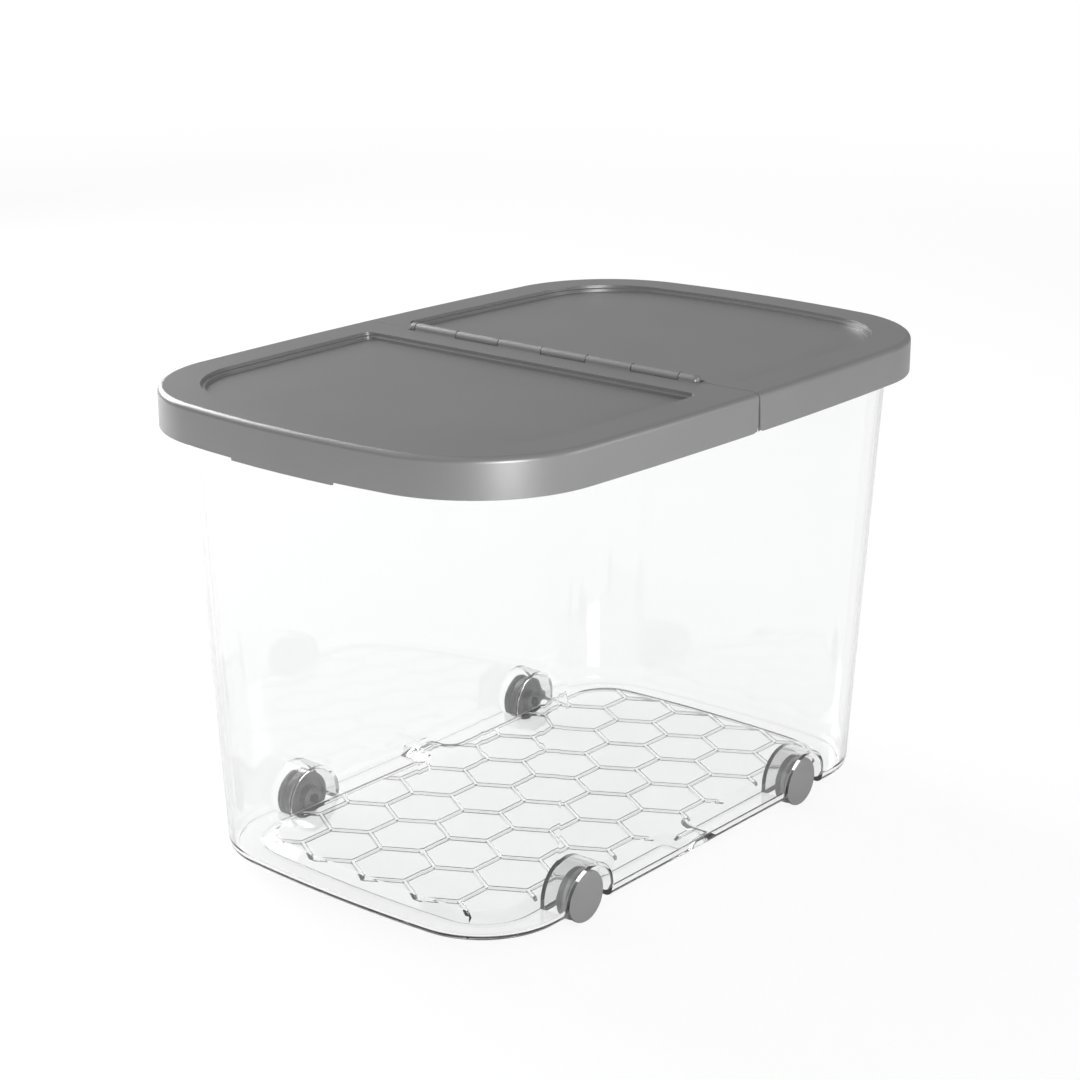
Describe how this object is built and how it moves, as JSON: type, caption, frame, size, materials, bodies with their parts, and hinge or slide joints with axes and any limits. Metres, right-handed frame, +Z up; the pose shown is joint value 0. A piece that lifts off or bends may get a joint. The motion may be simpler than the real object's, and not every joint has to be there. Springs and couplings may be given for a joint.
{
  "type": "rolling storage bin",
  "caption": "Clear tapered rice and dry-food bin on small side wheels, closed by a two-part grey lid whose halves flip up on a rod hinge across the middle.",
  "frame": {"origin": "on the floor under the middle of the bin, at the bottom centre of its bounding box", "axes": "+Z up, +X along the length from the front short end to the rear one, +Y across the width; the hinge axis lies along Y over X = 0"},
  "size_m": [0.6, 0.399, 0.3932],
  "materials": {
    "clear_tub": "clear",
    "lid_grey": "satin",
    "wheel_grey": "satin",
    "pin_dark": "satin",
    "rod_steel": "drawn wire"
  },
  "bodies": {
    "tub": {"tub": "clear_tub", "pin_front_near": "pin_dark", "pin_front_far": "pin_dark", "pin_rear_near": "pin_dark", "pin_rear_far": "pin_dark"},
    "hinge": {"hinge_rod": "rod_steel"},
    "lid_front": {"lid_front": "lid_grey"},
    "lid_rear": {"lid_rear": "lid_grey"},
    "wheel_front_near": {"wheel_front_near": "wheel_grey"},
    "wheel_front_far": {"wheel_front_far": "wheel_grey"},
    "wheel_rear_near": {"wheel_rear_near": "wheel_grey"},
    "wheel_rear_far": {"wheel_rear_far": "wheel_grey"}
  },
  "joints": [
    {"name": "lid_lift", "type": "slide", "parent": "tub", "child": "hinge", "axis": [0, 0, 1], "range_m": [0, 0.12]},
    {"name": "front_flap", "type": "hinge", "parent": "hinge", "child": "lid_front", "pos_m": [0, 0, 0.3882], "axis": [0, 1, 0], "range_deg": [0, 175]},
    {"name": "rear_flap", "type": "hinge", "parent": "hinge", "child": "lid_rear", "pos_m": [0, 0, 0.3882], "axis": [0, 1, 0], "range_deg": [-175, 0]},
    {"name": "wheel_front_near_spin", "type": "hinge", "parent": "tub", "child": "wheel_front_near", "pos_m": [-0.14255, -0.147, 0.0205], "axis": [0, 1, 0], "continuous": true},
    {"name": "wheel_front_far_spin", "type": "hinge", "parent": "tub", "child": "wheel_front_far", "pos_m": [-0.14255, 0.147, 0.0205], "axis": [0, 1, 0], "continuous": true},
    {"name": "wheel_rear_near_spin", "type": "hinge", "parent": "tub", "child": "wheel_rear_near", "pos_m": [0.14255, -0.147, 0.0205], "axis": [0, 1, 0], "continuous": true},
    {"name": "wheel_rear_far_spin", "type": "hinge", "parent": "tub", "child": "wheel_rear_far", "pos_m": [0.14255, 0.147, 0.0205], "axis": [0, 1, 0], "continuous": true}
  ]
}
